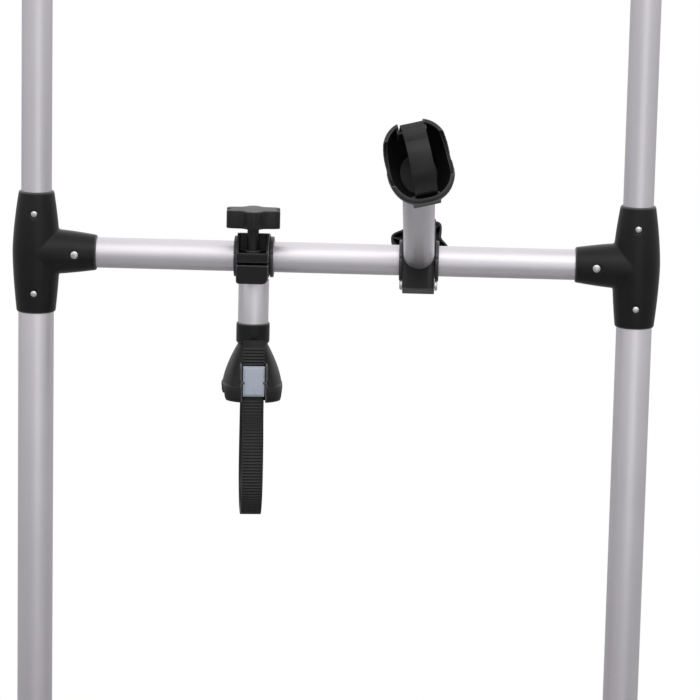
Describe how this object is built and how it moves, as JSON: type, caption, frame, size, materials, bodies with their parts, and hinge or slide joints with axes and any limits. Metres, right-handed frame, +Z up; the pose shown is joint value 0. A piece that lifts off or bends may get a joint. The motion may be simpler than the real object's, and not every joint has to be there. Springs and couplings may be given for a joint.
{
  "type": "bike rack",
  "caption": "Rear-wall bike rack for a motorhome: telescoping uprights, a crossbar with clamped holding arms, ladder-strap cradles and a folding platform with wheel rails.",
  "frame": {"origin": "on the vehicle's wall plane, midway between the two lower brackets, at the height of the platform's pivots", "axes": "+X along the crossbar, to the right as seen from behind the vehicle; +Y into the wall, so the rack stands out towards -Y; +Z up"},
  "size_m": [1.2646, 0.46, 1.051],
  "materials": {
    "aluminium": "satin anodised",
    "black_plastic": "fine moulded grain, satin",
    "knob_plastic": "satin",
    "strap_plastic": "smooth, satin",
    "button_plastic": "smooth, semi-gloss",
    "steel": "zinc plated",
    "webbing": "woven"
  },
  "bodies": {
    "base": {"base_tube_left": "aluminium", "base_tube_right": "aluminium", "lower_bracket_left": "black_plastic", "lower_bracket_right": "black_plastic", "lower_crossbar": "aluminium", "pivot_pin_left": "steel", "pivot_pin_right": "steel"},
    "frame": {"sleeve_tube_left": "aluminium", "sleeve_tube_right": "aluminium", "sleeve_collar_left": "black_plastic", "sleeve_collar_right": "black_plastic", "t_joint_left": "black_plastic", "t_joint_right": "black_plastic", "crossbar": "aluminium", "top_tube_left": "aluminium", "top_tube_right": "aluminium", "top_bracket_left": "black_plastic", "top_bracket_right": "black_plastic"},
    "platform": {"platform_hoop": "aluminium", "pivot_end_left": "black_plastic", "pivot_end_right": "black_plastic", "wheel_rail_inner": "aluminium", "wheel_rail_outer": "aluminium", "rail_saddle_inner_left": "black_plastic", "rail_cap_inner_left": "black_plastic", "wheel_strap_inner_left": "webbing", "rail_saddle_inner_right": "black_plastic", "rail_cap_inner_right": "black_plastic", "wheel_strap_inner_right": "webbing", "rail_saddle_outer_left": "black_plastic", "rail_cap_outer_left": "black_plastic", "wheel_strap_outer_left": "webbing", "rail_saddle_outer_right": "black_plastic", "rail_cap_outer_right": "black_plastic", "wheel_strap_outer_right": "webbing"},
    "left_liner": {"left_liner_upper": "black_plastic", "left_liner_lower": "black_plastic"},
    "left_arm": {"left_clamp_socket": "black_plastic", "left_arm_tube": "aluminium", "left_hinge_pin": "steel"},
    "left_jaw": {"left_clamp_jaw": "black_plastic"},
    "left_washer_body": {"left_washer": "black_plastic"},
    "left_knob_body": {"left_knob": "knob_plastic", "left_bolt": "steel"},
    "left_cradle_body": {"left_cradle": "black_plastic", "left_strap": "strap_plastic"},
    "left_button_body": {"left_release_button": "button_plastic"},
    "right_liner": {"right_liner_upper": "black_plastic", "right_liner_lower": "black_plastic"},
    "right_arm": {"right_clamp_socket": "black_plastic", "right_arm_tube": "aluminium", "right_hinge_pin": "steel"},
    "right_jaw": {"right_clamp_jaw": "black_plastic"},
    "right_washer_body": {"right_washer": "black_plastic"},
    "right_knob_body": {"right_knob": "knob_plastic", "right_bolt": "steel"},
    "right_cradle_body": {"right_cradle": "black_plastic", "right_strap": "strap_plastic"},
    "right_button_body": {"right_release_button": "button_plastic"}
  },
  "joints": [
    {"name": "height_slide", "type": "slide", "parent": "base", "child": "frame", "axis": [0, 0, 1], "range_m": [0, 0.12]},
    {"name": "platform_fold", "type": "hinge", "parent": "base", "child": "platform", "pos_m": [0, -0.138, 0], "axis": [-1, 0, 0], "range_deg": [0, 90]},
    {"name": "left_arm_slide", "type": "slide", "parent": "frame", "child": "left_liner", "axis": [1, 0, 0], "range_m": [-0.11, 0.04]},
    {"name": "left_arm_swing", "type": "hinge", "parent": "left_liner", "child": "left_arm", "pos_m": [-0.08, -0.07, 0.636], "axis": [-1, 0, 0], "range_deg": [-5, 118]},
    {"name": "left_jaw_open", "type": "hinge", "parent": "left_arm", "child": "left_jaw", "pos_m": [-0.08, -0.04451, 0.63251], "axis": [-1, 0, 0], "range_deg": [0, 2]},
    {"name": "left_washer_lift", "type": "slide", "parent": "left_arm", "child": "left_washer_body", "axis": [0, 0.0349, 0.9994], "range_m": [0, 0.00225]},
    {"name": "left_knob_turn", "type": "hinge", "parent": "left_washer_body", "child": "left_knob_body", "pos_m": [-0.08, -0.09671, 0.64474], "axis": [0, 0.0349, 0.9994], "range_deg": [0, 648.1]},
    {"name": "left_cradle_swivel", "type": "hinge", "parent": "left_arm", "child": "left_cradle_body", "pos_m": [-0.08, -0.07229, 0.57054], "axis": [0, -0.0349, -0.9994], "range_deg": [-84, 96]},
    {"name": "left_button_press", "type": "hinge", "parent": "left_cradle_body", "child": "left_button_body", "pos_m": [-0.07645, -0.10799, 0.51675], "axis": [-0.9945, -0.1045, 0.0036], "range_deg": [0, 5], "stiffness_Nm_per_rad": 0.3, "springref_deg": -4.58},
    {"name": "right_arm_slide", "type": "slide", "parent": "frame", "child": "right_liner", "axis": [1, 0, 0], "range_m": [-0.04, 0.11]},
    {"name": "right_arm_swing", "type": "hinge", "parent": "right_liner", "child": "right_arm", "pos_m": [0.082, -0.07, 0.636], "axis": [-1, 0, 0], "range_deg": [-25, 45]},
    {"name": "right_jaw_open", "type": "hinge", "parent": "right_arm", "child": "right_jaw", "pos_m": [0.082, -0.08317, 0.6139], "axis": [-1, 0, 0], "range_deg": [0, 2]},
    {"name": "right_washer_lift", "type": "slide", "parent": "right_arm", "child": "right_washer_body", "axis": [0, 0.9063, -0.4226], "range_m": [0, 0.00225]},
    {"name": "right_knob_turn", "type": "hinge", "parent": "right_washer_body", "child": "right_knob_body", "pos_m": [0.082, -0.05152, 0.65717], "axis": [0, 0.9063, -0.4226], "range_deg": [0, 648.1]},
    {"name": "right_cradle_swivel", "type": "hinge", "parent": "right_arm", "child": "right_cradle_body", "pos_m": [0.082, -0.30927, 0.74757], "axis": [0, -0.9063, 0.4226], "range_deg": [-104, 76]},
    {"name": "right_button_press", "type": "hinge", "parent": "right_cradle_body", "child": "right_button_body", "pos_m": [0.07378, -0.34517, 0.80071], "axis": [-0.9703, -0.1022, -0.2193], "range_deg": [0, 5], "stiffness_Nm_per_rad": 0.3, "springref_deg": -4.58}
  ],
  "couplings": [
    {"joint": "left_knob_turn", "follows": "left_washer_lift", "rad_per_m": 5026.5},
    {"joint": "left_jaw_open", "follows": "left_washer_lift", "rad_per_m": 15.436},
    {"joint": "right_knob_turn", "follows": "right_washer_lift", "rad_per_m": 5026.5},
    {"joint": "right_jaw_open", "follows": "right_washer_lift", "rad_per_m": 15.436}
  ]
}
